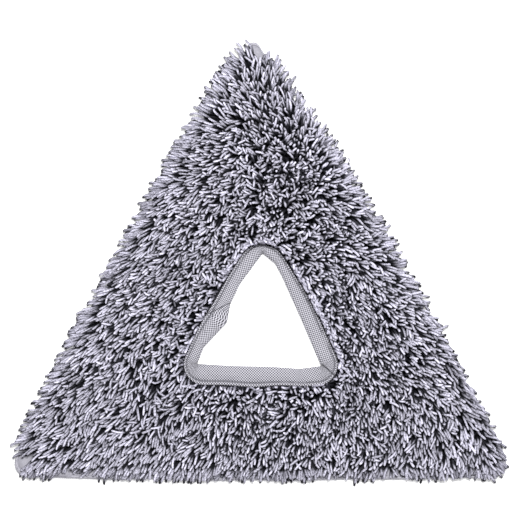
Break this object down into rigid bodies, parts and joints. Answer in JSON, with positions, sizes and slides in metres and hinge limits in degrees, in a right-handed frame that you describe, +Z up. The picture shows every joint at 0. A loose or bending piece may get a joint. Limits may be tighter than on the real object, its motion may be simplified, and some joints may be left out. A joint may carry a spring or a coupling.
{
  "type": "triangular steam mop pad",
  "caption": "Soft triangular chenille pad with a bound triangular steam opening through its middle and a smooth loop-fabric back.",
  "frame": {"origin": "middle of the pad's width and depth, on the plane that its smooth back rests on", "axes": "+X to the right corner, +Y to the tip, +Z up through the pile"},
  "size_m": [0.33, 0.296, 0.017],
  "materials": {
    "loop_cloth": "matte",
    "wadding": "matte",
    "ground_cloth": "matte",
    "chenille": "matte",
    "binding_tape": "matte",
    "thread": "satin"
  },
  "bodies": {
    "root": {"loop_backing": "loop_cloth", "absorbent_core": "wadding", "face_ground": "ground_cloth", "pile_tip": "chenille", "pile_left_side": "chenille", "pile_left_corner": "chenille", "pile_front_side": "chenille", "pile_right_corner": "chenille", "pile_right_side": "chenille", "opening_binding": "binding_tape", "binding_stitches": "thread", "overlap_stitches": "thread", "edge_stitches": "thread"}
  },
  "joints": []
}
